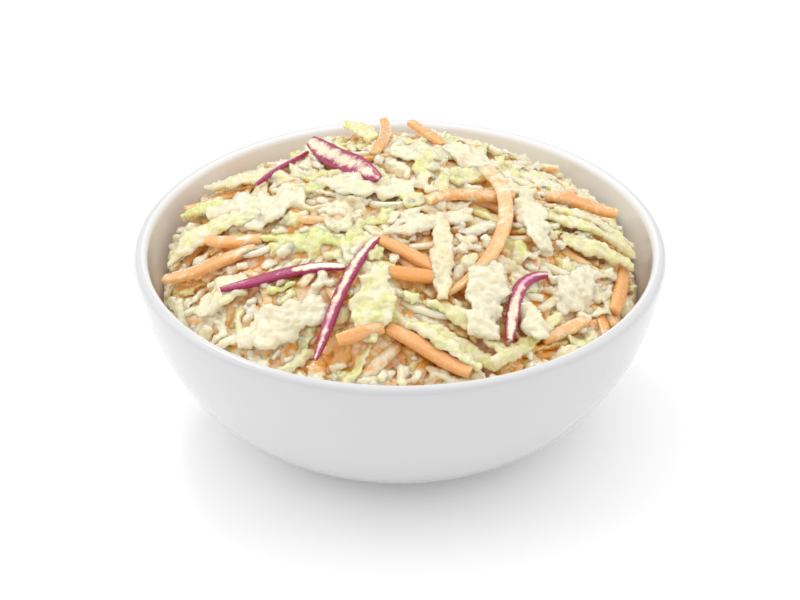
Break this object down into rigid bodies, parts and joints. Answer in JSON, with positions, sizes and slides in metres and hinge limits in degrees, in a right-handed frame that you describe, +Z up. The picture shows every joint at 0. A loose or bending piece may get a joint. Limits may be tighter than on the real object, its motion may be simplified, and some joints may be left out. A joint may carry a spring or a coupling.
{
  "type": "bowl of coleslaw",
  "caption": "Coleslaw of shredded cabbage, carrot and red cabbage in a creamy dressing, heaped in a round white bowl.",
  "frame": {"origin": "centre of the foot ring, on the surface that the bowl stands on", "axes": "+Z up along the bowl's axis; the bowl is round, and the heap's strips are laid out as seen from -Y"},
  "size_m": [0.13, 0.13, 0.0636],
  "materials": {
    "bowl": "glossy white glaze",
    "coleslaw": "wet, cream dressing over shredded vegetables"
  },
  "bodies": {
    "root": {"bowl": "bowl", "coleslaw": "coleslaw"}
  },
  "joints": []
}
